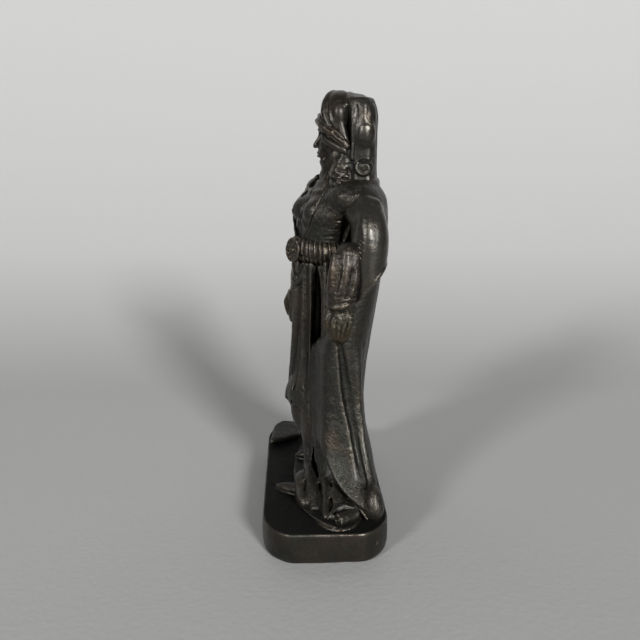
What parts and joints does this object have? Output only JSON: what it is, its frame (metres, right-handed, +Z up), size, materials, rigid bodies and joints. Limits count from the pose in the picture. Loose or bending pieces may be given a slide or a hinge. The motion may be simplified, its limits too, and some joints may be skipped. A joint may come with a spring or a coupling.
{
  "type": "bronze statuette",
  "caption": "Dark bronze statuette of a cloaked standing figure with folded headdress, vest, sash and pleated skirt, on a long rounded base.",
  "frame": {"origin": "middle of the base's resting face", "axes": "+Z up; +X along the base's length, towards the figure's left side; the figure faces -Y"},
  "size_m": [0.108, 0.048, 0.168],
  "materials": {
    "dark_bronze": "dark brown-black chemical patina on bronze, waxed",
    "rubbed_bronze": "the same patina, rubbed to a warmer brown on raised places",
    "steel": "plain"
  },
  "bodies": {
    "root": {"base_casting": "dark_bronze", "rock_ledge": "dark_bronze", "ground_plate": "dark_bronze", "skirt": "dark_bronze", "skirt_panel": "dark_bronze", "left_foot": "dark_bronze", "right_foot": "dark_bronze", "torso": "dark_bronze", "vest": "dark_bronze", "sash": "rubbed_bronze", "medallion": "rubbed_bronze", "head": "dark_bronze", "headdress": "dark_bronze", "brow_band": "rubbed_bronze", "hair_veil": "dark_bronze", "headdress_bosses": "rubbed_bronze", "left_sleeve": "dark_bronze", "left_forearm": "rubbed_bronze", "left_hand": "rubbed_bronze", "right_sleeve": "dark_bronze", "right_forearm": "rubbed_bronze", "right_hand": "rubbed_bronze", "cloak": "dark_bronze", "scroll": "dark_bronze", "base_studs": "steel", "stud_washers": "steel", "stud_nuts": "steel", "waist_pin": "steel", "neck_pin": "steel", "shoulder_pins": "steel"}
  },
  "joints": []
}
